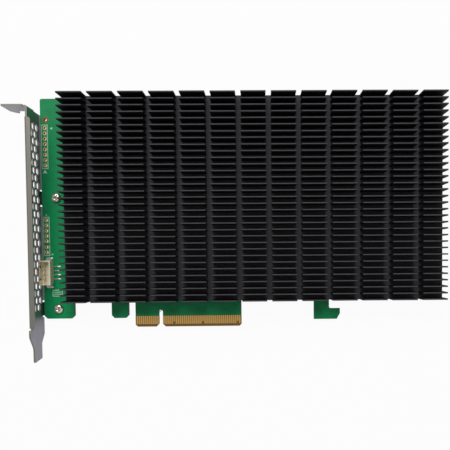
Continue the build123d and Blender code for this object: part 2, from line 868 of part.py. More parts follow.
# Slot bracket: one folded sheet. The blade is drawn in its own plane, and each folded edge brings
# its own stretch of the bend with it
blade_inner_x = bracket_outer_x + bracket_thickness
near_z = top + bracket_near_z
far_z = top + bracket_far_z
fold_outside = bracket_fold_inside + bracket_thickness
fold_leg = fold_outside + bracket_fold_overlap
lug_back_z = bottom - bracket_thickness
lug_fold_z = lug_back_z + fold_outside
lug_half = lug_width / 2
vents = []
for row in range(vent_rows):
    in_step = row % 2 == 0
    row_y = vent_top_y - row * vent_pitch * cos(radians(30))
    first_z = top + vent_first_z + (0 if in_step else vent_pitch / 2)
    for column in range(vent_columns if in_step else vent_columns - 1):
        vent_z = first_z + column * vent_pitch
        reach = vent_flats / 2 + vent_wall
        beside_lug = any(abs(row_y - y) < lug_half + lug_relief + reach for _, y in bracket_screws_at)
        if not (beside_lug and vent_z - reach < lug_fold_z):
            vents.append((row_y, vent_z))

with BuildPart() as bracket:
    with BuildSketch(Plane.YZ.offset(bracket_outer_x)):
        with BuildLine():
            Polyline(
                (bracket_top - fold_outside, near_z),
                (flange_top, near_z),
                (flange_top, near_z - fold_outside),
                (flange_bottom, near_z - fold_outside),
                (flange_bottom, near_z - flange_notch),
                (blade_shoulder_y, near_z - flange_notch),
                (blade_shoulder_y, near_z),
                (blade_full_y, near_z),
                (blade_near_taper_y, top + tongue_near_z),
                (tongue_bottom, top + tongue_near_z),
                (tongue_bottom + tongue_slant, top + tongue_far_z),
                (blade_far_taper_y, top + tongue_far_z),
                (blade_full_y, lug_fold_z),
                (bracket_screw_low_y, lug_fold_z),
                (bracket_screw_low_y, far_z),
                (bracket_top - fold_outside, far_z),
                close=True,
            )
        make_face()
        tip = vertices().sort_by_distance((tongue_bottom, top + tongue_near_z))[0]
        fillet(tip, radius=tongue_corner)
        for taper in ((blade_full_y, near_z), (blade_near_taper_y, top + tongue_near_z)):
            fillet(vertices().sort_by_distance(taper)[0], radius=blade_taper_round)
        for _, lug_y in bracket_screws_at:
            cut_half = lug_half + lug_relief
            box_sketch(lug_y - cut_half, lug_y + cut_half, far_z, lug_fold_z, Mode.SUBTRACT)
            for low_y in (lug_y - cut_half, lug_y + lug_half):
                box_sketch(low_y, low_y + lug_relief, lug_fold_z, top + lug_relief_end, Mode.SUBTRACT)
        with Locations(*vents):
            RegularPolygon(vent_flats / 2, 6, major_radius=False, mode=Mode.SUBTRACT)
    extrude(amount=bracket_thickness)

    folded_edge(
        Plane.XZ.offset(-flange_top), bracket_outer_x, near_z, flange_width, -fold_leg,
        flange_top - flange_bottom,
    )
    flange_end = edges().filter_by(Axis.Z).sort_by_distance(
        (bracket_outer_x + flange_width, flange_top, near_z)
    )[0]
    fillet(flange_end, radius=flange_end_radius)

    # The screw slot lies between the tab's outer prong and the blade, open towards the far side
    tab_end = bracket_outer_x - screw_tab_length
    tab_far_z = top + screw_tab_far_z
    slot_end_z = tab_far_z + screw_slot_depth
    slot_left = bracket_outer_x - screw_slot_centre - screw_slot_width / 2
    folded_edge(
        Plane.XY.offset(slot_end_z), blade_inner_x, bracket_top, slot_left - blade_inner_x,
        -fold_leg, near_z - slot_end_z,
    )
    with BuildSketch(Plane.XZ.offset(-bracket_top)):
        with BuildLine():
            Polyline(
                (slot_left + screw_slot_width, near_z),
                (tab_end, near_z),
                (tab_end, tab_far_z + screw_tab_chamfer_z),
                (tab_end + screw_tab_chamfer_x, tab_far_z),
                (slot_left, tab_far_z),
                (slot_left, slot_end_z),
                (slot_left + screw_slot_width, slot_end_z),
                close=True,
            )
        make_face()
        slot_corner = vertices().sort_by_distance((slot_left, slot_end_z))[0]
        fillet(slot_corner, radius=screw_slot_corner)
    extrude(amount=bracket_thickness)
    with BuildSketch(Plane.XY.offset(near_z - neck_cut_z)):
        box_sketch(bracket_outer_x - neck_cut_reach, blade_inner_x, flange_top, bracket_top)
    extrude(amount=neck_cut_z, mode=Mode.SUBTRACT)

    for _, lug_y in bracket_screws_at:
        folded_edge(
            Plane.XZ.offset(-lug_y - lug_half), bracket_outer_x, lug_back_z, lug_length,
            fold_leg, lug_width,
        )
    lug_corners = edges().filter_by(Axis.Z).group_by(Axis.X)[-1]
    chamfer(lug_corners, length=lug_corner)
    with BuildSketch(Plane.XY.offset(lug_back_z)):
        with Locations(*bracket_screws_at):
            Circle(bracket_thread_radius)
    extrude(amount=bracket_thickness, mode=Mode.SUBTRACT)
save(bracket, "bracket")

# Bracket screws: pan heads on the component side, shanks through the board into the lugs
with BuildPart() as bracket_screws:
    with BuildSketch(Plane.XY.offset(top)):
        with Locations(*bracket_screws_at):
            Circle(bracket_screw_head_radius)
    extrude(amount=bracket_screw_head_height)
    rims = edges().filter_by(GeomType.CIRCLE).group_by(Axis.Z)[-1]
    fillet(rims, radius=bracket_screw_head_round)
    with BuildSketch(Plane.XY.offset(top)):
        with Locations(*bracket_screws_at):
            Circle(bracket_screw_radius)
    extrude(amount=-(board_thickness + bracket_thickness + bracket_screw_tip))
    head_face = top + bracket_screw_head_height
    recess_depth = bracket_screw_head_height * recess_depth_share
    cross_recess(head_face, -recess_depth, bracket_screws_at, bracket_screw_head_radius)
save(bracket_screws, "bracket_screws")
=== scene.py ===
"""Looks of a four-drive adapter card with a pin-fin heatsink and a perforated slot bracket.

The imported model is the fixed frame. Its small parts keep their own meshes and get a finish each. The
heatsink, the bracket, the screws and the fan header get finer meshes in the same place, and the board
gets its printed lines, copper routing, vias and solder joints. Sizes are in millimetres until a mesh is
made, where they become metres.
"""
from __future__ import annotations

import logging
from dataclasses import dataclass, field
from enum import Enum

import bmesh
import bpy
import numpy as np
from mathutils import Matrix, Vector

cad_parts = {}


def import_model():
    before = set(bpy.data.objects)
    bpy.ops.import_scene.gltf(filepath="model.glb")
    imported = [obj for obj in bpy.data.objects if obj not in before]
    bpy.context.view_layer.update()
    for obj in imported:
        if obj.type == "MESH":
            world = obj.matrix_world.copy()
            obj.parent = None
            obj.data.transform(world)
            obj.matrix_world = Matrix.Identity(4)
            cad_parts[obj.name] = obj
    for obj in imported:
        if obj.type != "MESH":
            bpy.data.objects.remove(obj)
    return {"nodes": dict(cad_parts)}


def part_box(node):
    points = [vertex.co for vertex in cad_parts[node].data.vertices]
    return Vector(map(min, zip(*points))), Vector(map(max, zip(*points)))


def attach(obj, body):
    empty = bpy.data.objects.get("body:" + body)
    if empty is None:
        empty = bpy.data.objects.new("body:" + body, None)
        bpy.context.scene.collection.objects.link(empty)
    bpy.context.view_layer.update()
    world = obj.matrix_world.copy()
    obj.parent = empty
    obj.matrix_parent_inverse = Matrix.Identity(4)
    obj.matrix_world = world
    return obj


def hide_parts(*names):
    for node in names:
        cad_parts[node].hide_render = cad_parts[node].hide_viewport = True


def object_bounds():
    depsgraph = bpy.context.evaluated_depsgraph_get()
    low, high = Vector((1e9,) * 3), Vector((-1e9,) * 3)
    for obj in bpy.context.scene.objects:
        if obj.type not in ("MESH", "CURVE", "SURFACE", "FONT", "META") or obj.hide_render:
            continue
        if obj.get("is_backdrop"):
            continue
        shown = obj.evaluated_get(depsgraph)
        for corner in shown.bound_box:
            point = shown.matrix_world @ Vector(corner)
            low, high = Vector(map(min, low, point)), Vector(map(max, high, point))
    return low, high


MM = 0.001
IMAGE_SIDE = 450
BODY = "root"
# The part of the noise's range that its values mostly fill
NOISE_LOW, NOISE_HIGH = 0.3, 0.7
# Copied meshes: how near points merge, the angle that counts as flat, and the one that breaks an edge
MERGE_MM = 0.002
FLAT_DEGREES = 0.5
BREAK_DEGREES = 40
# The angle up to which shading runs smoothly over an edge
SMOOTH_DEGREES = 35

log = logging.getLogger("adapter_card")


def linear(code: str) -> tuple[float, float, float, float]:
    """Turns an sRGB hex colour into linear light.

    Args:
        code: Colour as "#RRGGBB".

    Returns:
        Red, green, blue and an alpha of one.
    """
    srgb = np.array([int(code[i:i + 2], 16) for i in (1, 3, 5)]) / 255
    light = np.where(srgb <= 0.04045, srgb / 12.92, ((srgb + 0.055) / 1.055) ** 2.4)
    return (float(light[0]), float(light[1]), float(light[2]), 1.0)


def add_node(
    tree: bpy.types.NodeTree,
    kind: str,
    settings: dict[str | int, object] | None = None,
    links: dict[str | int, bpy.types.NodeSocket] | None = None,
) -> bpy.types.Node:
    """Adds a shader node with its settings and the links into it.

    Args:
        tree: Node tree that gets the node.
        kind: Blender's name of the node type.
        settings: Values by property name, or by the name or number of an input.
        links: Output sockets by the name or number of the input that they feed.

    Returns:
        The new node.
    """
    node = tree.nodes.new(kind)
    for key, value in (settings or {}).items():
        if isinstance(key, str) and hasattr(node, key):
            setattr(node, key, value)
        else:
            node.inputs[key].default_value = value
    for key, socket in (links or {}).items():
        tree.links.new(socket, node.inputs[key])
    return node


def upright(tree: bpy.types.NodeTree) -> bpy.types.NodeSocket:
    """Tells the surfaces that stand upright, as cut sides and hole barrels do, from the flat ones.

    Args:
        tree: The material's node tree.

    Returns:
        One where the surface's direction has under half its length along Z, and otherwise zero.
    """
    geometry = add_node(tree, "ShaderNodeNewGeometry")
    facing = add_node(tree, "ShaderNodeSeparateXYZ", links={"Vector": geometry.outputs["Normal"]})
    flat = add_node(tree, "ShaderNodeMath", {"operation": "ABSOLUTE"}, {0: facing.outputs["Z"]})
    stands = add_node(
        tree, "ShaderNodeMath", {"operation": "LESS_THAN", 1: 0.5}, {0: flat.outputs["Value"]}
    )
    return stands.outputs["Value"]


class Grain(Enum):
    """How a surface was made, as the stretch of its pattern along X, Y and Z."""

    MOULDED = (1.0, 1.0, 1.0)
    DRAWN_ALONG_X = (0.012, 1.0, 1.0)
    ROLLED_ALONG_Y = (1.0, 0.03, 1.0)
    PLATED = (0.6, 0.6, 0.6)


@dataclass(frozen=True)
class Finish:
    """A surface finish: its two colours, its gloss and the pattern that its making leaves.

    The pattern is one noise, stretched as the grain says. It mixes the two colours, makes the roughness
    wander and lifts the surface by a few micrometres.
    """

    name: str
    colour: str
    shade: str
    roughness: float
    wander: float = 0.06
    metallic: float = 0.0
    ior: float = 1.5
    specular: float = 0.5
    grain: Grain = Grain.MOULDED
    grain_mm: float = 0.25
    relief_mm: float = 0.004

    def pattern(self, tree: bpy.types.NodeTree) -> bpy.types.NodeSocket:
        """Adds the noise that the whole finish is built on.

        Args:
            tree: The material's node tree.

        Returns:
            The noise, from 0 to 1.
        """
        place = add_node(tree, "ShaderNodeTexCoord")
        step = self.grain_mm * MM
        scale = tuple(stretch / step for stretch in self.grain.value)
        mapping = add_node(tree, "ShaderNodeMapping", {"Scale": scale}, {"Vector": place.outputs["Object"]})
        noise = add_node(
            tree, "ShaderNodeTexNoise",
            {"Scale": 1.0, "Detail": 3.0, "Roughness": 0.6}, {"Vector": mapping.outputs["Vector"]},
        )
        return noise.outputs["Fac"]

    def base_colour(
        self, tree: bpy.types.NodeTree, pattern: bpy.types.NodeSocket
    ) -> bpy.types.NodeSocket:
        """Mixes the finish's two colours by its pattern."""
        share = add_node(
            tree, "ShaderNodeMapRange", {"From Min": NOISE_LOW, "From Max": NOISE_HIGH},
            {"Value": pattern},
        )
        mix = add_node(
            tree, "ShaderNodeMix",
            {"data_type": "RGBA", 6: linear(self.colour), 7: linear(self.shade)},
            {0: share.outputs["Result"]},
        )
        return mix.outputs[2]

    def material(self) -> bpy.types.Material:
        """Builds the finish's material, or finds the one built before.

        Returns:
            The material, named for the finish.
        """
        found = bpy.data.materials.get(self.name)
        if found:
            return found
        made = bpy.data.materials.new(self.name)
        made.use_nodes = True
        tree = made.node_tree
        tree.nodes.clear()
        pattern = self.pattern(tree)
        gloss = add_node(
            tree, "ShaderNodeMapRange",
            {
                "From Min": NOISE_LOW, "From Max": NOISE_HIGH,
                "To Min": self.roughness - self.wander, "To Max": self.roughness + self.wander,
            },
            {"Value": pattern},
        )
        bump = add_node(
            tree, "ShaderNodeBump", {"Strength": 1.0, "Distance": self.relief_mm * MM}, {"Height": pattern}
        )
        settings = {"Metallic": self.metallic, "Specular IOR Level": self.specular}
        if self.metallic < 1:
            settings["IOR"] = self.ior
        shader = add_node(
            tree, "ShaderNodeBsdfPrincipled", settings,
            {
                "Base Color": self.base_colour(tree, pattern),
                "Roughness": gloss.outputs["Result"],
                "Normal": bump.outputs["Normal"],
            },
        )
        add_node(tree, "ShaderNodeOutputMaterial", links={"Surface": shader.outputs["BSDF"]})
        return made

    def dress(self, piece: bpy.types.Object) -> None:
        """Puts the finish on every material slot of a piece, or in a first one."""
        if not piece.material_slots:
            piece.data.materials.append(self.material())
        for place in piece.material_slots:
            place.material = self.material()


@dataclass(frozen=True)
class MaskedLaminate(Finish):
    """Green solder mask over a glass laminate, bare and amber between the edge contacts.

    The cut sides show the darker laminate. The window between the contacts is bare, olive where the
    mask ends and amber towards the bevelled edge.
    """

    side: str = "#0C3B26"
    bare_high: str = "#3E3E1E"
    bare_low: str = "#8A6A34"
    window_left: float = -12.4
    window_right: float = 39.4
    window_top: float = 5.45
    window_fade: float = 2.2

    def base_colour(
        self, tree: bpy.types.NodeTree, pattern: bpy.types.NodeSocket
    ) -> bpy.types.NodeSocket:
        """Mixes mask, cut side and bare window by the surface's place and facing."""
        mask = super().base_colour(tree, pattern)
        sides = add_node(
            tree, "ShaderNodeMix", {"data_type": "RGBA", 7: linear(self.side)},
            {0: upright(tree), 6: mask},
        )
        place = add_node(tree, "ShaderNodeTexCoord")
        at = add_node(tree, "ShaderNodeSeparateXYZ", links={"Vector": place.outputs["Object"]})
        fade = add_node(
            tree, "ShaderNodeMapRange",
            {"From Min": self.window_fade * MM, "From Max": self.window_top * MM},
            {"Value": at.outputs["Y"]},
        )
        bare = add_node(
            tree, "ShaderNodeMix",
            {"data_type": "RGBA", 6: linear(self.bare_low), 7: linear(self.bare_high)},
            {0: fade.outputs["Result"]},
        )
        low = add_node(
            tree, "ShaderNodeMath", {"operation": "LESS_THAN", 1: self.window_top * MM},
            {0: at.outputs["Y"]},
        )
        right = add_node(
            tree, "ShaderNodeMath", {"operation": "GREATER_THAN", 1: self.window_left * MM},
            {0: at.outputs["X"]},
        )
        left = add_node(
            tree, "ShaderNodeMath", {"operation": "LESS_THAN", 1: self.window_right * MM},
            {0: at.outputs["X"]},
        )
        across = add_node(
            tree, "ShaderNodeMath", {"operation": "MULTIPLY"},
            {0: right.outputs["Value"], 1: left.outputs["Value"]},
        )
        inside = add_node(
            tree, "ShaderNodeMath", {"operation": "MULTIPLY"},
            {0: across.outputs["Value"], 1: low.outputs["Value"]},
        )
        window = add_node(
            tree, "ShaderNodeMix", {"data_type": "RGBA"},
            {0: inside.outputs["Value"], 6: sides.outputs[2], 7: bare.outputs[2]},
        )
        return window.outputs[2]


@dataclass(frozen=True)
class PaintedLightAnodise(Finish):
    """Black anodised extrusion with a painted highlight on its fin tips and painted light on its cross-cut
    channel floors, both paler than its walls.

    The paler colours are painted light, not a property of the metal. They are told from the walls by
    their height.
    """

    # Painted highlight on the fin tips and painted light on the channel floors, and the heights that bound
    # them
    tip: str = "#4E4E52"
    channel: str = "#3D3D41"
    tip_height: float = 15.165
    channel_height: float = 7.52

    def base_colour(
        self, tree: bpy.types.NodeTree, pattern: bpy.types.NodeSocket
    ) -> bpy.types.NodeSocket:
        """Mixes walls, the painted highlight on the tips and the painted light on the channel floors by the
        height on the part.
        """
        walls = super().base_colour(tree, pattern)
        place = add_node(tree, "ShaderNodeTexCoord")
        at = add_node(tree, "ShaderNodeSeparateXYZ", links={"Vector": place.outputs["Object"]})
        # Shares of the painted tip highlight and of the painted floor light, by height
        tip_highlight_share = add_node(
            tree, "ShaderNodeMath", {"operation": "GREATER_THAN", 1: self.tip_height * MM},
            {0: at.outputs["Z"]},
        )
        floor_light_share = add_node(
            tree, "ShaderNodeMath", {"operation": "LESS_THAN", 1: self.channel_height * MM},
            {0: at.outputs["Z"]},
        )
        floors = add_node(
            tree, "ShaderNodeMix", {"data_type": "RGBA", 7: linear(self.channel)},
            {0: floor_light_share.outputs["Value"], 6: walls},
        )
        tips = add_node(
            tree, "ShaderNodeMix", {"data_type": "RGBA", 7: linear(self.tip)},
            {0: tip_highlight_share.outputs["Value"], 6: floors.outputs[2]},
        )
        return tips.outputs[2]


@dataclass(frozen=True)
class FoldedSheet(Finish):
    """Plated sheet steel with a painted shade on the faces that look up along Z, the flange and the sheared
    edges, which makes them darker than its other faces.

    The darker colour there is painted shade, not a property of the steel.
    """

    # Painted shade on the faces that look up along Z, and the facing over which it sets in
    painted_top_shade: str = "#6F6D65"
    painted_shade_from: float = 0.5
    painted_shade_full: float = 0.9

    def base_colour(
        self, tree: bpy.types.NodeTree, pattern: bpy.types.NodeSocket
    ) -> bpy.types.NodeSocket:
        """Mixes the faces with the painted shade by which way the surface faces."""
        faces = super().base_colour(tree, pattern)
        geometry = add_node(tree, "ShaderNodeNewGeometry")
        facing = add_node(tree, "ShaderNodeSeparateXYZ", links={"Vector": geometry.outputs["Normal"]})
        # The share of painted shade, from the surface's facing along Z
        edge = add_node(
            tree, "ShaderNodeMapRange", {"From Min": self.painted_shade_from, "From Max": self.painted_shade_full},
            {"Value": facing.outputs["Z"]},
        )
        mix = add_node(
            tree, "ShaderNodeMix", {"data_type": "RGBA", 7: linear(self.painted_top_shade)},
            {0: edge.outputs["Result"], 6: faces},
        )
        return mix.outputs[2]


@dataclass(frozen=True)
class RingWithPaintedBarrelShade(Finish):
    """A plated ring whose barrel, inside the board, gets a painted shade that makes it dark."""

    # Painted shade inside the hole's barrel
    barrel: str = "#2E2414"

    def base_colour(
        self, tree: bpy.types.NodeTree, pattern: bpy.types.NodeSocket
    ) -> bpy.types.NodeSocket:
        """Mixes ring and the barrel's painted shade by which way the surface faces."""
        ring = super().base_colour(tree, pattern)
        mix = add_node(
            tree, "ShaderNodeMix", {"data_type": "RGBA", 7: linear(self.barrel)},
            {0: upright(tree), 6: ring},
        )
        return mix.outputs[2]


# Epoxy solder mask, screen coated and cured: a deep green with the soft gloss of thick varnish
SOLDER_MASK = MaskedLaminate(
    "green_solder_mask", "#0A9658", "#088A50", roughness=0.38, wander=0.05, specular=0.2, grain_mm=3.0,
    relief_mm=0.004,
)
# The same mask where copper runs under it: paler, because the copper throws light back
MASKED_COPPER = Finish(
    "mask_over_copper", "#149C60", "#119058", roughness=0.36, wander=0.04, specular=0.2, grain_mm=1.5,
    relief_mm=0.002,
)
# White epoxy ink, screen printed: matt and slightly thin, so that the green comes through
PRINT_INK = Finish(
    "white_print_ink", "#C4E2CC", "#ACD2B8", roughness=0.55, grain_mm=0.3, relief_mm=0.003
)
# Hard gold over nickel on the contacts: a warm amber with a satin sheen
CONTACT_GOLD = Finish(
    "hard_gold_plate", "#B28E55", "#A8844A", roughness=0.34, metallic=1.0, grain=Grain.PLATED,
    grain_mm=0.5, relief_mm=0.001,
)
# Immersion gold on the hole rings: paler and flatter than the contacts' gold
# Its hole barrels get a painted shade
RING_GOLD = RingWithPaintedBarrelShade(
    "immersion_gold_plate", "#CDBB86", "#B3A068", roughness=0.45, metallic=0.7, grain=Grain.PLATED,
    grain_mm=0.4, relief_mm=0.001,
)
# Bare copper ring, dulled by handling: brown
RING_COPPER = Finish(
    "aged_copper_ring", "#7A5530", "#5C3E22", roughness=0.42, metallic=0.8, grain=Grain.PLATED,
    grain_mm=0.5, relief_mm=0.001,
)
# Extruded aluminium, black anodised: die lines run along the fins and catch long faint streaks
# Its fin tips get a painted highlight and its channel floors get painted light
BLACK_ANODISE = PaintedLightAnodise(
    "black_anodise_with_painted_light", "#101013", "#0B0B0E", roughness=0.62, wander=0.06, specular=0.18,
    grain=Grain.DRAWN_ALONG_X, grain_mm=0.35, relief_mm=0.006,
)
# Cold-rolled steel, nickel plated in a barrel: satin, with faint rolling streaks up the sheet
# Its faces that look up along Z get a painted shade
BRACKET_STEEL = FoldedSheet(
    "nickel_plated_sheet_steel", "#A3A3AA", "#96969E", roughness=0.42, wander=0.05, metallic=1.0,
    grain=Grain.ROLLED_ALONG_Y, grain_mm=0.6, relief_mm=0.002,
)
# Machine screws, nickel plated: bright and nearly smooth
SCREW_NICKEL = Finish(
    "bright_nickel_plate", "#C2B8AE", "#A79C92", roughness=0.2, wander=0.04, metallic=1.0,
    grain=Grain.PLATED, grain_mm=0.8, relief_mm=0.001,
)
# Tin-dipped copper terminals and solder: soft grey metal
TIN = Finish(
    "tin_plate", "#C9CBC6", "#B2B5AE", roughness=0.3, metallic=1.0, grain=Grain.PLATED, grain_mm=0.4,
    relief_mm=0.002,
)
# Turned brass, nickel plated
SPACER_NICKEL = Finish(
    "turned_nickel_plate", "#B9B5A8", "#A7A294", roughness=0.28, metallic=1.0, grain=Grain.PLATED,
    grain_mm=0.6, relief_mm=0.001,
)
# Nylon connector shell, injection moulded in natural ivory
IVORY_NYLON = Finish(
    "ivory_moulded_nylon", "#FFF6DC", "#FAEDCB", roughness=0.42, ior=1.53, grain_mm=0.4, relief_mm=0.004
)
# Liquid crystal polymer socket shells: black, matt, faintly flowed
SOCKET_POLYMER = Finish(
    "black_moulded_polymer", "#1C1C1D", "#151516", roughness=0.55, grain_mm=0.3, relief_mm=0.005
)
# Transfer-moulded epoxy chip bodies: charcoal with a fine spark-eroded texture
CHIP_EPOXY = Finish(
    "moulded_chip_epoxy", "#242526", "#1B1C1D", roughness=0.6, grain_mm=0.12, relief_mm=0.006
)
# Filled silicone gap pads: blue-grey, soft and quite matt
GAP_PAD = Finish(
    "filled_silicone_pad", "#8C98A6", "#7C8896", roughness=0.8, ior=1.41, grain_mm=0.8, relief_mm=0.02
)
# Copper heat spreader under nickel
SPREADER_NICKEL = Finish(
    "nickel_plated_spreader", "#B4B3AE", "#A3A29C", roughness=0.32, metallic=1.0, grain=Grain.PLATED,
    grain_mm=0.7, relief_mm=0.002,
)
# Thin laminate under the switch chip
CHIP_SUBSTRATE = Finish(
    "chip_substrate_laminate", "#1E5A38", "#184C2F", roughness=0.5, grain_mm=0.5, relief_mm=0.004
)
# Pressed iron powder: dark grey and granular
PRESSED_IRON = Finish(
    "pressed_iron_powder", "#4B4B4E", "#38383B", roughness=0.62, grain_mm=0.18, relief_mm=0.02
)
# Epoxy capacitor cases
CAPACITOR_CASE = Finish(
    "capacitor_case_epoxy", "#34302A", "#292621", roughness=0.5, grain_mm=0.2, relief_mm=0.006
)
# Fired barium titanate between tinned ends
CAPACITOR_CERAMIC = Finish(
    "fired_capacitor_ceramic", "#A98A66", "#957755", roughness=0.45, ior=1.6, grain_mm=0.2,
    relief_mm=0.004,
)
# Black glaze over alumina
RESISTOR_GLAZE = Finish(
    "fired_resistor_glaze", "#202022", "#161618", roughness=0.35, ior=1.6, grain_mm=0.2, relief_mm=0.002
)
# Gold-flashed crystal can lid
CRYSTAL_LID = Finish(
    "crystal_can_lid", "#C8BE9C", "#B4A988", roughness=0.3, metallic=1.0, grain=Grain.PLATED,
    grain_mm=0.4, relief_mm=0.001,
)

NODE_FINISHES: dict[str, Finish] = {
    "pcb": SOLDER_MASK,
    "edge_contacts_component_side": CONTACT_GOLD,
    "edge_contacts_solder_side": CONTACT_GOLD,
    "heatsink_spacers": SPACER_NICKEL,
    "drive_screws": SCREW_NICKEL,
    "switch_substrate": CHIP_SUBSTRATE,
    "switch_lid": SPREADER_NICKEL,
    "switch_pad": GAP_PAD,
    "inductor_clips": TIN,
    "flash_leads": TIN,
    "fan_header_pins": TIN,
    "fan_header_anchors": TIN,
    "bulk_capacitors": CAPACITOR_CASE,
    "clock_buffer": CHIP_EPOXY,
    "fan_controller": CHIP_EPOXY,
    "flash_chip": CHIP_EPOXY,
    "crystal": CRYSTAL_LID,
    "ceramic_capacitors": CAPACITOR_CERAMIC,
    "decoupling_capacitors": CAPACITOR_CERAMIC,
    "chip_resistors": RESISTOR_GLAZE,
    "header_rings": RING_GOLD,
    "alarm_rings": RING_GOLD,
    "ground_ring": RING_COPPER,
}
FAMILY_FINISHES: dict[str, Finish] = {
    "drive_socket_": SOCKET_POLYMER,
    "socket_contacts_": CONTACT_GOLD,
    "drive_standoff_": SPACER_NICKEL,
    "drive_pad_": GAP_PAD,
    "power_inductor_": PRESSED_IRON,
    "buck_regulator_": CHIP_EPOXY,
}


def add_object(name: str, data: bpy.types.ID) -> bpy.types.Object:
    """Adds an object to the scene, at the origin and unturned."""
    made = bpy.data.objects.new(name, data)
    bpy.context.scene.collection.objects.link(made)
    return made


class Shells:
    """Closed shells gathered in millimetres, to become the mesh of one piece."""

    def __init__(self) -> None:
        """Starts with no shell."""
        self.points: list[np.ndarray] = []
        self.faces: list[list[int]] = []
        self.count = 0

    def add(self, points: np.ndarray, faces: list[list[int]]) -> None:
        """Adds one shell.

        Args:
            points: Its corners, one row of X, Y and Z each.
            faces: Its faces, as lists of row numbers.
        """
        start = self.count
        self.points.append(points.reshape(-1, 3))
        self.faces += [[start + corner for corner in face] for face in faces]
        self.count += len(self.points[-1])

    def piece(self, name: str, finish: Finish, slot: str, smooth: bool = False) -> bpy.types.Object:
        """Makes the gathered shells one object that rides on the card.

        Args:
            name: The object's name.
            finish: What it is dressed in.
            slot: Not used.
            smooth: Whether its faces are shaded smooth up to SMOOTH_DEGREES.

        Returns:
            The new object.
        """
        mesh = bpy.data.meshes.new(name)
        mesh.from_pydata((np.concatenate(self.points) * MM).tolist(), [], self.faces)
        return finish_piece(mesh, name, finish, smooth)


def finish_piece(
    mesh: bpy.types.Mesh, name: str, finish: Finish, smooth: bool
) -> bpy.types.Object:
    """Turns faces outwards, sets the shading, and makes a dressed object that rides on the card.

    Args:
        mesh: The mesh, in metres and in place.
        name: The object's name.
        finish: What it is dressed in.
        smooth: Whether faces are shaded smooth up to SMOOTH_DEGREES.

    Returns:
        The new object.
    """
    work = bmesh.new()
    work.from_mesh(mesh)
    bmesh.ops.recalc_face_normals(work, faces=work.faces)
    work.to_mesh(mesh)
    work.free()
    if smooth:
        mesh.shade_smooth()
        mesh.set_sharp_from_angle(angle=np.radians(SMOOTH_DEGREES))
    made = add_object(name, mesh)
    finish.dress(made)
    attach(made, BODY)
    log.info("%s: %d faces", name, len(mesh.polygons))
    return made


def stacked_faces(levels: int, around: int) -> list[list[int]]:
    """Faces of a closed shell of stacked rings: quads between neighbours and a cap at each end.

    Args:
        levels: How many rings there are.
        around: How many points each ring has.

    Returns:
        The faces, as lists of point numbers counted ring by ring.
    """
    index = np.arange(levels * around).reshape(levels, around)
    ahead = np.roll(index, -1, axis=1)
    quads = np.stack([index[:-1], ahead[:-1], ahead[1:], index[1:]], axis=-1).reshape(-1, 4)
    return quads.tolist() + [index[0, ::-1].tolist(), index[-1].tolist()]


def chamfered_ring(half_x: float, half_y: float, corner: float) -> np.ndarray:
    """The eight corners of a rectangle with cut corners, about the origin.

    Args:
        half_x: Half its length along X.
        half_y: Half its length along Y.
        corner: How far each corner is cut back.

    Returns:
        Eight rows of X and Y, anticlockwise.
    """
    inner_x, inner_y = half_x - corner, half_y - corner
    return np.array([
        (half_x, -inner_y), (half_x, inner_y), (inner_x, half_y), (-inner_x, half_y),
        (-half_x, inner_y), (-half_x, -inner_y), (-inner_x, -half_y), (inner_x, -half_y),
    ])


def ribbon(
    path: np.ndarray, width: float, low: float, high: float, closed: bool = False
) -> tuple[np.ndarray, list[list[int]]]:
    """A flat strip along a path on the board, mitred at its bends.

    At each point the strip's two edges lie along the sum of the neighbouring runs' normals, divided by
    one plus their dot product, which keeps its width through a bend.

    Args:
        path: Points along the strip's middle, as rows of X and Y.
        width: The strip's width.
        low: Height of its lower face.
        high: Height of its upper face.
        closed: Whether the last point joins the first.

    Returns:
        The strip's corners and faces.
    """
    ahead = np.roll(path, -1, axis=0) - path
    ahead /= np.linalg.norm(ahead, axis=1)[:, None] + 1e-12
    behind = np.roll(ahead, 1, axis=0)
    if not closed:
        ahead[-1] = behind[-1]
        behind[0] = ahead[0]
    turn = np.array([[0.0, 1.0], [-1.0, 0.0]])
    normal, before = ahead @ turn, behind @ turn
    mitre = (normal + before) / (1 + (normal * before).sum(1))[:, None] * width / 2
    edges = np.stack([path + mitre, path + mitre, path - mitre, path - mitre], axis=1)
    heights = np.broadcast_to(np.array([high, low, low, high]), edges.shape[:2])
    points = np.concatenate([edges, heights[..., None]], axis=2)
    if not closed:
        return points, stacked_faces(len(path), 4)
    index = np.arange(len(path) * 4).reshape(-1, 4)
    nearby = np.roll(index, -1, axis=1)
    following, corner = np.roll(index, -1, axis=0), np.roll(nearby, -1, axis=0)
    return points, np.stack([index, nearby, corner, following], axis=-1).reshape(-1, 4).tolist()


def ring_stack(
    centre: tuple[float, float], radii: np.ndarray, heights: np.ndarray, around: int
) -> tuple[np.ndarray, list[list[int]]]:
    """A closed body of revolution about an upright axis: one circle for each radius and height.

    Args:
        centre: X and Y of the axis.
        radii: The circles' radii, in order along the body's profile.
        heights: Their heights.
        around: Points in each circle.

    Returns:
        The body's corners and faces.
    """
    angle = np.linspace(0, 2 * np.pi, around, endpoint=False)
    x = centre[0] + np.outer(radii, np.cos(angle))
    y = centre[1] + np.outer(radii, np.sin(angle))
    z = np.broadcast_to(np.asarray(heights)[:, None], x.shape)
    return np.stack([x, y, z], axis=-1), stacked_faces(len(radii), around)


def box_mm(node: str) -> tuple[np.ndarray, np.ndarray]:
    """Lowest and highest corner of a node, in millimetres."""
    low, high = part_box(node)
    return np.array(low) / MM, np.array(high) / MM


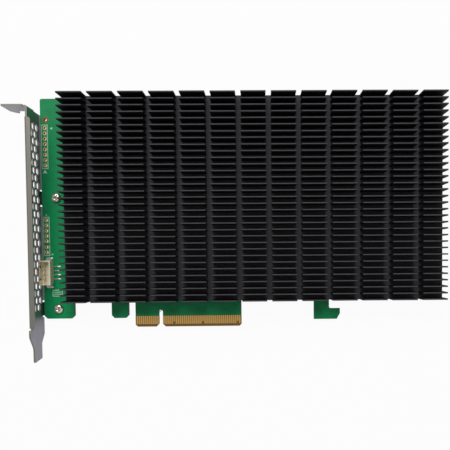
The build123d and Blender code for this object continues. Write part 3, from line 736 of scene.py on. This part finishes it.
@dataclass
class PinFinHeatsink:
    """The black extrusion: a grid of thin plate fins on one base."""

    columns: int = 13
    rows: int = 33
    fin_length: float = 11.54
    fin_thickness: float = 0.7
    fin_height: float = 7.7
    tip_bevel: float = 0.16
    end_bevel: float = 0.04
    root_depth: float = 0.3
    base_bevel: float = 0.2
    lean_mm: float = 0.045
    lean_limit: float = 0.1
    seed: int = 11

    def build(self) -> bpy.types.Object:
        """Builds the heatsink in the place of its node.

        Every fin is three stacked rings: its root, its shoulder and its narrower tip. The upper two are
        shifted by the fin's own small lean, as saw-cut fins stand a little out of line. The outer rows
        lean inwards, so that the block keeps its size.

        Returns:
            The heatsink.
        """
        low, high = box_mm("heatsink")
        floor = high[2] - self.fin_height
        shells = Shells()
        shells.add(*self.base(low, high, floor))
        x = np.linspace(low[0], high[0] - self.fin_length, self.columns) + self.fin_length / 2
        y = np.linspace(low[1], high[1] - self.fin_thickness, self.rows) + self.fin_thickness / 2
        half_x, half_y = self.fin_length / 2, self.fin_thickness / 2
        body = chamfered_ring(half_x, half_y, self.end_bevel)
        tip = chamfered_ring(half_x - self.end_bevel, half_y - self.tip_bevel, self.end_bevel)
        rings = np.stack([body, body, tip])
        heights = np.array([floor - self.root_depth, high[2] - self.tip_bevel, high[2]])
        draw = np.random.default_rng(self.seed)
        lean = draw.normal(0, self.lean_mm, (self.rows, self.columns))
        lean = np.clip(lean, -self.lean_limit, self.lean_limit)
        lean[0] = np.abs(lean[0])
        lean[-1] = -np.abs(lean[-1])
        for row, middle_y in enumerate(y):
            for column, middle_x in enumerate(x):
                shift = np.array([0.0, 1.0, 1.0]) * lean[row, column]
                points = np.zeros((*rings.shape[:2], 3))
                points[..., :2] = rings + (middle_x, middle_y)
                points[..., 1] += shift[:, None]
                points[..., 2] = heights[:, None]
                shells.add(points, stacked_faces(*rings.shape[:2]))
        made = shells.piece("heatsink_extrusion", BLACK_ANODISE, "black_anodised_aluminium")
        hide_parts("heatsink")
        return made

    def base(
        self, low: np.ndarray, high: np.ndarray, floor: float
    ) -> tuple[np.ndarray, list[list[int]]]:
        """The base plate, as four stacked rings with its long edges broken."""
        half = (high - low)[:2] / 2
        middle = (high + low)[:2] / 2
        full = chamfered_ring(half[0], half[1], self.base_bevel)
        inset = chamfered_ring(half[0] - self.base_bevel, half[1] - self.base_bevel, self.base_bevel)
        rings = np.stack([inset, full, full, inset]) + middle
        heights = np.array([low[2], low[2] + self.base_bevel, floor - self.base_bevel, floor])
        levels, around = rings.shape[:2]
        upwards = np.broadcast_to(heights[:, None, None], (levels, around, 1))
        return np.concatenate([rings, upwards], axis=2), stacked_faces(levels, around)


@dataclass
class MachineScrew:
    """A pan-head machine screw with a cross recess and a cut thread, as one closed surface.

    Its rings run from the tip up the shank, out under the head and over the crown to the middle. The
    thread is a triangle wave of the ring's height and angle. The crown is a superellipse: its height is
    one minus the radius' share to a power, to one over that power. The recess lowers the crown where
    either arm of a cross lies.
    """

    head_radius: float
    head_height: float
    shank_radius: float
    shank_length: float
    turn_degrees: float = 38.0
    arm_width: float = 0.75
    arm_reach: float = 0.62
    recess_depth: float = 1.2
    recess_edge: float = 0.1
    recess_spread: float = 1.15
    recess_shallow: float = 0.25
    crown_power: float = 2.5
    thread_pitch: float = 0.45
    thread_depth: float = 0.14
    thread_steps: int = 6
    point_length: float = 0.3
    point_share: float = 0.62
    neck_gap: float = 0.02
    rim_share: float = 0.12
    rim_break: float = 0.08
    crown_end: float = 0.04
    around: int = 72
    crown_rings: int = 22

    def shell(self, x: float, y: float, seat: float, up: int) -> tuple[np.ndarray, list[list[int]]]:
        """Builds the screw at its place.

        Args:
            x: Place along X.
            y: Place along Y.
            seat: Height of the face that the head sits on.
            up: 1 where the head looks up and -1 where it looks down.

        Returns:
            The screw's corners and faces.
        """
        angle = np.linspace(0, 2 * np.pi, self.around, endpoint=False)
        steps = int(self.shank_length / self.thread_pitch * self.thread_steps)
        shank_z = np.linspace(-self.shank_length + self.point_length, -self.neck_gap, steps)
        wave = np.abs(((shank_z[:, None] / self.thread_pitch - angle / (2 * np.pi)) % 1) * 2 - 1)
        shank = self.shank_radius - self.thread_depth * wave
        tip = np.full((1, self.around), self.shank_radius * self.point_share)
        share = np.sin(np.linspace(np.pi / 2, self.crown_end, self.crown_rings))
        crown = np.broadcast_to(share[:, None] * self.head_radius, (self.crown_rings, self.around))
        rim = self.head_height * self.rim_share
        rise = (1 - share ** self.crown_power) ** (1 / self.crown_power)
        crown_z = rim + (self.head_height - rim) * rise[:, None] - self.recess(crown, angle)
        under = np.full((1, self.around), self.head_radius - self.rim_break)
        radius = np.concatenate([tip, shank, under, crown])
        height = np.concatenate([
            np.full((1, self.around), -self.shank_length),
            np.broadcast_to(shank_z[:, None], shank.shape),
            np.zeros((1, self.around)),
            crown_z,
        ])
        points = np.stack(
            [x + radius * np.cos(angle), y + radius * np.sin(angle), seat + up * height], axis=-1
        )
        return points, stacked_faces(len(radius), self.around)

    def recess(self, radius: np.ndarray, angle: np.ndarray) -> np.ndarray:
        """How far the cross lowers the crown at each point, with softly rounded walls."""
        turned = angle + np.radians(self.turn_degrees)
        u, v = radius * np.cos(turned), radius * np.sin(turned)
        reach, half = self.arm_reach * self.head_radius, self.arm_width / 2

        def inside(value: np.ndarray, limit: float) -> np.ndarray:
            """One within the limit, falling to zero over the recess edge."""
            return np.clip((limit - np.abs(value)) / self.recess_edge + 0.5, 0, 1)

        one = inside(u, reach) * inside(v, half)
        other = inside(v, reach) * inside(u, half)
        slope = np.clip(1 - radius / (self.recess_spread * reach), self.recess_shallow, 1)
        return np.maximum(one, other) * self.recess_depth * slope


@dataclass
class Screws:
    """All screws that can be seen: two through the bracket's lugs and nine under the board."""

    front: MachineScrew = field(
        default_factory=lambda: MachineScrew(2.3, 1.6, 1.2, 3.63, turn_degrees=40)
    )
    back: MachineScrew = field(
        default_factory=lambda: MachineScrew(
            2.3, 1.5, 1.2, 5.0, turn_degrees=12, around=48, crown_rings=14, recess_depth=0.75
        )
    )

    def build(self) -> None:
        """Builds both sets: the front pair at the ends of its node's box, the others under the spacers."""
        low, high = box_mm("bracket_screws")
        reach = self.front.head_radius
        shells = Shells()
        seat = high[2] - self.front.head_height
        for y in (low[1] + reach, high[1] - reach):
            shells.add(*self.front.shell(low[0] + reach, y, seat, 1))
        made = shells.piece("bracket_screw_set", SCREW_NICKEL, "nickel_plated_steel", smooth=True)
        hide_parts("bracket_screws")
        low, high = box_mm("heatsink_screws")
        spacers = solid_centres("heatsink_spacers")
        shells = Shells()
        seat = low[2] + self.back.head_height
        for x, y in spacers:
            shells.add(*self.back.shell(x, y, seat, -1))
        made = shells.piece("heatsink_screw_set", SCREW_NICKEL, "nickel_plated_steel", smooth=True)
        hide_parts("heatsink_screws")


def solid_centres(node: str, reach: float = 5.0) -> list[tuple[float, float]]:
    """Middles, in X and Y, of the separate solids of a node, in millimetres.

    Args:
        node: The node's name.
        reach: Distance within which points belong to the same solid.

    Returns:
        One X and Y for each solid.
    """
    mesh = bpy.data.objects[node].data
    flat = np.zeros(len(mesh.vertices) * 3, np.float32)
    mesh.vertices.foreach_get("co", flat)
    points = flat.reshape(-1, 3)[:, :2] / MM
    centres: list[tuple[float, float]] = []
    while len(points):
        near = np.linalg.norm(points - points[0], axis=1) < reach
        group = points[near]
        middle = (group.min(0) + group.max(0)) / 2
        centres.append((float(middle[0]), float(middle[1])))
        points = points[~near]
    return centres


def softened_copy(
    node: str, name: str, finish: Finish, edge_mm: float, segments: int = 2
) -> bpy.types.Object:
    """Copies a node's shape with its loose triangles merged and its edges broken.

    Args:
        node: The node that the copy stands for.
        name: The copy's name.
        finish: What it is dressed in.
        edge_mm: Width of the broken edges.
        segments: Steps across each broken edge.

    Returns:
        The copy, which replaces the node.
    """
    mesh = bpy.data.objects[node].data.copy()
    mesh.name = name
    mesh.materials.clear()
    work = bmesh.new()
    work.from_mesh(mesh)
    bmesh.ops.remove_doubles(work, verts=work.verts, dist=MERGE_MM * MM)
    bmesh.ops.dissolve_limit(
        work, angle_limit=np.radians(FLAT_DEGREES), verts=work.verts, edges=work.edges,
        delimit={"NORMAL"},
    )
    work.to_mesh(mesh)
    work.free()
    made = finish_piece(mesh, name, finish, smooth=True)
    bevel = made.modifiers.new("broken_edges", "BEVEL")
    bevel.width = edge_mm * MM
    bevel.segments = segments
    bevel.limit_method = "ANGLE"
    bevel.angle_limit = np.radians(BREAK_DEGREES)
    bevel.harden_normals = True
    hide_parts(node)
    return made


@dataclass
class BoardPrint:
    """White ink on the component side: outlines round the empty headers, their first-pin marks and dots."""

    ink: float = 0.02
    line: float = 0.36
    header_x: tuple[float, float] = (-56.0, -53.2)
    header_y: tuple[float, float] = (77.1, 97.9)
    alarm_x: tuple[float, float] = (-56.0, -53.3)
    alarm_y: tuple[float, float, float] = (35.15, 40.7, 53.7)
    dots: tuple[tuple[float, float, float], ...] = (
        (-54.6, 54.75, 0.35), (-52.0, 35.7, 0.42), (-51.2, 96.3, 0.5),
    )
    dot_points: int = 20
    mark: tuple[float, float, float] = (-54.7, 75.4, 1.1)
    parts_box: tuple[float, float, float, float] = (-52.2, -47.75, 15.4, 18.3)
    parts_rows: int = 3
    row_inset: float = 0.5

    @staticmethod
    def outline(x0: float, x1: float, y0: float, y1: float) -> np.ndarray:
        """The four corners of a printed rectangle."""
        return np.array([(x0, y0), (x1, y0), (x1, y1), (x0, y1)])

    def build(self, face: float) -> bpy.types.Object:
        """Prints the component side.

        Args:
            face: Height of the board's component side.

        Returns:
            The print.
        """
        shells = Shells()
        high = face + self.ink
        low_y, mid_y, high_y = self.alarm_y
        boxes = [
            self.outline(*self.header_x, *self.header_y),
            self.outline(*self.alarm_x, mid_y, high_y),
            self.outline(*self.alarm_x, low_y, mid_y),
            self.outline(*self.parts_box),
        ]
        for corners in boxes:
            shells.add(*ribbon(corners, self.line, face, high, closed=True))
        x0, x1, y0, y1 = self.parts_box
        inner = (x0 + self.row_inset, x1 - self.row_inset)
        for y in np.linspace(y0, y1, self.parts_rows + 1)[1:-1]:
            shells.add(*ribbon(np.array([(x, y) for x in inner]), self.line, face, high))
        for x, y, radius in self.dots:
            heights = np.array([face, high])
            shells.add(*ring_stack((x, y), np.full(2, radius), heights, self.dot_points))
        x, y, side = self.mark
        corners = np.array([(x - side, y - side / 2), (x + side, y - side / 2), (x, y + side)])
        points = np.concatenate([np.c_[corners, np.full(3, face)], np.c_[corners, np.full(3, high)]])
        shells.add(points, stacked_faces(2, 3))
        return shells.piece("board_print", PRINT_INK, "green_laminate")


@dataclass
class CopperRouting:
    """Copper under the mask: tracks from the contacts, pours along the edges, and filled vias.

    A track leaves its contact upwards, turns at 45 degrees towards the switch, and goes on upwards
    under the heatsink. How far it shifts grows with its distance from the switch, so none cross.
    """

    height: float = 0.03
    track: float = 0.22
    pitch: float = 1.0
    contact_top: float = 5.3
    contact_gap: float = 1.5
    before_key: int = 11
    after_key: int = 38
    turn_y: float = 6.3
    end_y: float = 24.0
    switch_x: float = 13.5
    drift: float = 0.34
    via_radius: float = 0.32
    via_rise: float = 0.05
    via_offset: float = 0.62
    via_points: int = 14
    tracks_per_via: int = 3
    turn_stagger: float = 0.5
    least_rise: float = 0.01
    pour_line: float = 0.16
    strip_via_x: float = -46.6
    strip_via_y: tuple[float, float, float] = (20.0, 104.0, 7.0)
    back_via_x: tuple[float, float, float] = (-40.0, 130.0, 10.0)
    back_via_rows: tuple[float, ...] = (30.0, 58.0, 86.0, 104.0)
    bus_tracks: int = 4
    bus_pitch: float = 3.0
    bus_start: tuple[float, float] = (20.0, 52.0)
    bus_turn_y: float = 60.0
    bus_bend: float = 2.0
    bus_end_x: float = 120.0

    def contact_xs(self) -> np.ndarray:
        """Where the contacts stand along X."""
        before = -self.contact_gap - np.arange(self.before_key)[::-1] * self.pitch
        after = self.contact_gap + np.arange(self.after_key) * self.pitch
        return np.concatenate([before, after])

    def tracks(self, shells: Shells, face: float, up: int) -> None:
        """Adds the tracks of one side, with a via near the contact of every third."""
        low, high = sorted((face, face + up * self.height))
        for number, x in enumerate(self.contact_xs()):
            shift = (self.switch_x - x) * self.drift
            end_x = x + shift
            turn = self.turn_y + self.turn_stagger * (number % 2)
            bend = turn + abs(shift) + self.least_rise
            path = np.array([(x, self.contact_top), (x, turn), (end_x, bend), (end_x, self.end_y)])
            shells.add(*ribbon(path, self.track, low, high))
            if number % self.tracks_per_via == 0:
                self.via(shells, x, self.contact_top + self.via_offset, face, up)

    def via(self, shells: Shells, x: float, y: float, face: float, up: int) -> None:
        """Adds one filled via: a low dome with a dimple in its middle."""
        radii = np.array([1.0, 0.9, 0.55, 0.3]) * self.via_radius
        rise = np.array([0.0, 0.8, 1.0, 0.3]) * self.via_rise
        shells.add(*ring_stack((x, y), radii, face + up * rise, self.via_points))

    def build(self, face: float, back: float) -> None:
        """Builds the routing of both sides.

        Args:
            face: Height of the component side.
            back: Height of the solder side.
        """
        shells = Shells()
        self.tracks(shells, face, 1)
        for path in self.pours():
            shells.add(*ribbon(path, self.pour_line, face, face + self.height))
        for y in np.arange(*self.strip_via_y):
            self.via(shells, self.strip_via_x, y, face, 1)
        shells.piece("component_side_copper", MASKED_COPPER, "green_laminate")
        shells = Shells()
        self.tracks(shells, back, -1)
        for x in np.arange(*self.back_via_x):
            for y in self.back_via_rows:
                self.via(shells, x, y, back, -1)
        for path in self.bus():
            shells.add(*ribbon(path, self.track, back - self.height, back))
        shells.piece("solder_side_copper", MASKED_COPPER, "green_laminate")

    def bus(self) -> list[np.ndarray]:
        """Middles of the parallel tracks on the solder side, which turn once towards the far end."""
        start_x, start_y = self.bus_start
        paths = []
        for step in np.arange(self.bus_tracks) * self.bus_pitch:
            x, y = start_x + step, self.bus_turn_y + step
            paths.append(np.array([
                (x, start_y), (x, y - self.bus_bend), (x + self.bus_bend, y), (self.bus_end_x, y),
            ]))
        return paths

    def pours(self) -> list[np.ndarray]:
        """Edges of the copper pours, set in from the board's outline."""
        foot = np.array([
            (-55.8, 100.0), (-55.8, 6.3), (-54.7, 5.2), (-43.7, 5.2), (-42.6, 6.3), (-42.6, 12.8),
        ])
        tab = np.array([
            (-23.2, 12.8), (-23.2, 6.2), (-22.2, 5.2), (-17.3, 5.2), (-16.3, 6.2), (-16.3, 12.8),
        ])
        hook = np.array([
            (75.6, 12.8), (75.6, 3.7), (85.7, 3.7), (86.9, 5.9), (86.9, 7.5), (81.6, 7.5), (81.6, 12.8),
        ])
        return [foot, tab, hook]


@dataclass
class SolderJoints:
    """Solder under the fan header's feet: low domes that are square-cornered in plan.

    Each is the upper half of a superellipsoid: its outline is a rounded rectangle, and its height falls
    from the middle to nothing at the edge along a quarter of an ellipse.
    """

    rise: float = 0.42
    foot_half: tuple[float, float] = (1.5, 0.42)
    anchor_half: tuple[float, float] = (1.7, 0.75)
    corner_power: float = 0.55
    edge_angle: float = 0.12
    feet: int = 4
    foot_inset: float = 1.1
    pin_half: float = 0.25
    anchor_inset: float = 0.3
    levels: int = 7
    around: int = 28

    def joint(
        self, x: float, y: float, half: tuple[float, float], face: float
    ) -> tuple[np.ndarray, list[list[int]]]:
        """One joint, with its middle at X and Y."""
        angle = np.linspace(0, 2 * np.pi, self.around, endpoint=False)
        plan_x = np.sign(np.cos(angle)) * np.abs(np.cos(angle)) ** self.corner_power * half[0]
        plan_y = np.sign(np.sin(angle)) * np.abs(np.sin(angle)) ** self.corner_power * half[1]
        climb = np.linspace(0, np.pi / 2 - self.edge_angle, self.levels)
        share, rise = np.cos(climb), np.sin(climb) * self.rise
        points = np.stack([
            x + np.outer(share, plan_x), y + np.outer(share, plan_y),
            np.broadcast_to(face + rise[:, None], (self.levels, self.around)),
        ], axis=-1)
        return points, stacked_faces(self.levels, self.around)

    def build(self, face: float) -> bpy.types.Object:
        """Builds the joints of the four feet and the two anchors."""
        low, high = box_mm("fan_header_pins")
        anchor_low, anchor_high = box_mm("fan_header_anchors")
        foot_x = high[0] - self.foot_inset
        shells = Shells()
        for y in np.linspace(low[1] + self.pin_half, high[1] - self.pin_half, self.feet):
            shells.add(*self.joint(foot_x, y, self.foot_half, face))
        middle = (anchor_low[0] + anchor_high[0]) / 2
        for y in (anchor_low[1] + self.anchor_inset, anchor_high[1] - self.anchor_inset):
            shells.add(*self.joint(middle, y, self.anchor_half, face))
        return shells.piece("fan_header_solder", TIN, "tinned_copper", smooth=True)


@dataclass(frozen=True)
class Softbox:
    """One square soft lamp: its place and side in metres, and its power in watts."""

    name: str
    at: tuple[float, float, float]
    side: float
    watts: float
    target: tuple[float, float, float] = (0.035, 0.05, 0.0)

    def hang(self) -> None:
        """Hangs the lamp so that it looks at the middle of the card."""
        data = bpy.data.lights.new(self.name, "AREA")
        data.shape = "SQUARE"
        data.size = self.side
        data.energy = self.watts
        back = np.array(self.at) - self.target
        back /= np.linalg.norm(back)
        right = np.cross((0.0, 1.0, 0.0), back)
        right /= np.linalg.norm(right)
        turn = Matrix(np.stack([right, np.cross(back, right), back], axis=1).tolist()).to_4x4()
        add_object(self.name, data).matrix_world = Matrix.Translation(self.at) @ turn


@dataclass
class Studio:
    """The pale floor, the soft lamps and the camera of the photograph."""

    camera_at: tuple[float, float, float] = (47.6109, 33.7950, 258.6461)
    tilt: tuple[float, float, float] = (0.0366, 0.0139, 0.0082)
    focal_px: float = 527.92
    centre_px: tuple[float, float] = (265.19, 276.0)
    sensor_mm: float = 36.0
    floor_gap: float = 0.05
    floor_side: float = 6.0
    overhead: float = 0.14
    horizon: float = 0.17
    backdrop: float = 1.0
    camera_glow: float = 0.95
    mirrored_glow: float = 0.35
    key: Softbox = Softbox("key_softbox", (-0.12, 0.8, 1.0), side=0.75, watts=11.0)
    fill: Softbox = Softbox("fill_softbox", (0.75, -0.45, 0.55), side=0.6, watts=0.7)

    def camera(self) -> None:
        """Sets the camera: its turn is about X, then Y, then Z, and its shift frames the picture."""
        data = bpy.data.cameras.new("camera")
        data.sensor_width = self.sensor_mm
        data.lens = self.focal_px / IMAGE_SIDE * self.sensor_mm
        data.shift_x = (IMAGE_SIDE / 2 - self.centre_px[0]) / IMAGE_SIDE
        data.shift_y = (self.centre_px[1] - IMAGE_SIDE / 2) / IMAGE_SIDE
        data.clip_start = 0.01
        camera = add_object("camera", data)
        turn_x = Matrix.Rotation(self.tilt[0], 3, "X")
        turn_y = Matrix.Rotation(self.tilt[1], 3, "Y")
        turn_z = Matrix.Rotation(self.tilt[2], 3, "Z")
        turn = (turn_x @ turn_y @ turn_z).transposed().to_4x4()
        camera.matrix_world = Matrix.Translation([value * MM for value in self.camera_at]) @ turn
        bpy.context.scene.camera = camera

    def floor(self, height: float) -> None:
        """Lays the floor, which keeps the object's soft shadow under a white that the camera sees."""
        made = bpy.data.materials.new("pale_floor")
        made.use_nodes = True
        tree = made.node_tree
        tree.nodes.clear()
        matt = add_node(tree, "ShaderNodeBsdfDiffuse", {"Color": linear("#F4F4F4")})
        glow = add_node(tree, "ShaderNodeEmission", {"Color": linear("#FFFFFF"), "Strength": self.backdrop})
        rays = add_node(tree, "ShaderNodeLightPath")
        mirrored = add_node(
            tree, "ShaderNodeMath", {"operation": "MAXIMUM"},
            {0: rays.outputs["Is Glossy Ray"], 1: rays.outputs["Is Transmission Ray"]},
        )
        dimmer = add_node(
            tree, "ShaderNodeMath", {"operation": "MULTIPLY", 1: self.mirrored_glow},
            {0: mirrored.outputs["Value"]},
        )
        plain = add_node(
            tree, "ShaderNodeMath", {"operation": "MULTIPLY", 1: self.camera_glow},
            {0: rays.outputs["Is Camera Ray"]},
        )
        share = add_node(
            tree, "ShaderNodeMath", {"operation": "MAXIMUM"},
            {0: plain.outputs["Value"], 1: dimmer.outputs["Value"]},
        )
        mix = add_node(
            tree, "ShaderNodeMixShader", {},
            {0: share.outputs["Value"], 1: matt.outputs["BSDF"], 2: glow.outputs["Emission"]},
        )
        add_node(tree, "ShaderNodeOutputMaterial", links={"Surface": mix.outputs["Shader"]})
        half = self.floor_side / 2
        signs = ((-1, -1), (1, -1), (1, 1), (-1, 1))
        corners = [(x * half, y * half, height) for x, y in signs]
        mesh = bpy.data.meshes.new("floor")
        mesh.from_pydata(corners, [], [(0, 1, 2, 3)])
        mesh.materials.append(made)
        add_object("floor", mesh)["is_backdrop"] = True

    def world(self) -> None:
        """Lights the scene with a sky, dimmer overhead, that looks white itself and in metal and glass."""
        made = bpy.data.worlds.new("soft_sky")
        made.use_nodes = True
        tree = made.node_tree
        tree.nodes.clear()
        rays = add_node(tree, "ShaderNodeLightPath")
        way = add_node(tree, "ShaderNodeTexCoord")
        rise = add_node(tree, "ShaderNodeSeparateXYZ", links={"Vector": way.outputs["Generated"]})
        strength = add_node(
            tree, "ShaderNodeMapRange", {"To Min": self.horizon, "To Max": self.overhead},
            {"Value": rise.outputs["Z"]},
        )
        sky = add_node(
            tree, "ShaderNodeBackground", {"Color": linear("#FFFFFF")},
            {"Strength": strength.outputs["Result"]},
        )
        white = add_node(tree, "ShaderNodeBackground", {"Color": linear("#FFFFFF"), "Strength": 1.0})
        seen = add_node(
            tree, "ShaderNodeMath", {"operation": "MAXIMUM"},
            {0: rays.outputs["Is Camera Ray"], 1: rays.outputs["Is Glossy Ray"]},
        )
        both = add_node(
            tree, "ShaderNodeMath", {"operation": "MAXIMUM"},
            {0: seen.outputs["Value"], 1: rays.outputs["Is Transmission Ray"]},
        )
        mix = add_node(
            tree, "ShaderNodeMixShader", {},
            {0: both.outputs["Value"], 1: sky.outputs["Background"], 2: white.outputs["Background"]},
        )
        add_node(tree, "ShaderNodeOutputWorld", links={"Surface": mix.outputs["Shader"]})
        bpy.context.scene.world = made

    def build(self, lowest: float) -> None:
        """Sets camera, floor, sky and lamps.

        Args:
            lowest: Height of the object's lowest point, in metres.
        """
        self.camera()
        self.floor(lowest - self.floor_gap * MM)
        self.world()
        self.key.hang()
        self.fill.hang()
        bpy.context.scene.view_settings.view_transform = "Standard"


def dress_nodes(nodes: dict[str, bpy.types.Object]) -> None:
    """Gives every node that keeps its own mesh its finish.

    Args:
        nodes: The frame's objects by node name.
    """
    for name, node in nodes.items():
        finish = NODE_FINISHES.get(name)
        if finish is None:
            finish = next((kind for start, kind in FAMILY_FINISHES.items() if name.startswith(start)), None)
        if finish is not None:
            finish.dress(node)


def main() -> None:
    """Loads the frame, builds and dresses each piece, and sets the scene."""
    logging.basicConfig(level=logging.INFO, format="%(name)s: %(message)s")
    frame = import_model()
    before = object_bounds()
    board_low, board_high = box_mm("pcb")
    face, back = board_high[2], board_low[2]
    dress_nodes(frame["nodes"])
    PinFinHeatsink().build()
    softened_copy("bracket", "slot_bracket", BRACKET_STEEL, edge_mm=0.12)
    softened_copy("fan_header_housing", "fan_header_shell", IVORY_NYLON, edge_mm=0.12)
    Screws().build()
    BoardPrint().build(face)
    CopperRouting().build(face, back)
    SolderJoints().build(face)
    Studio().build(before[0][2])


if __name__ == "__main__":
    main()
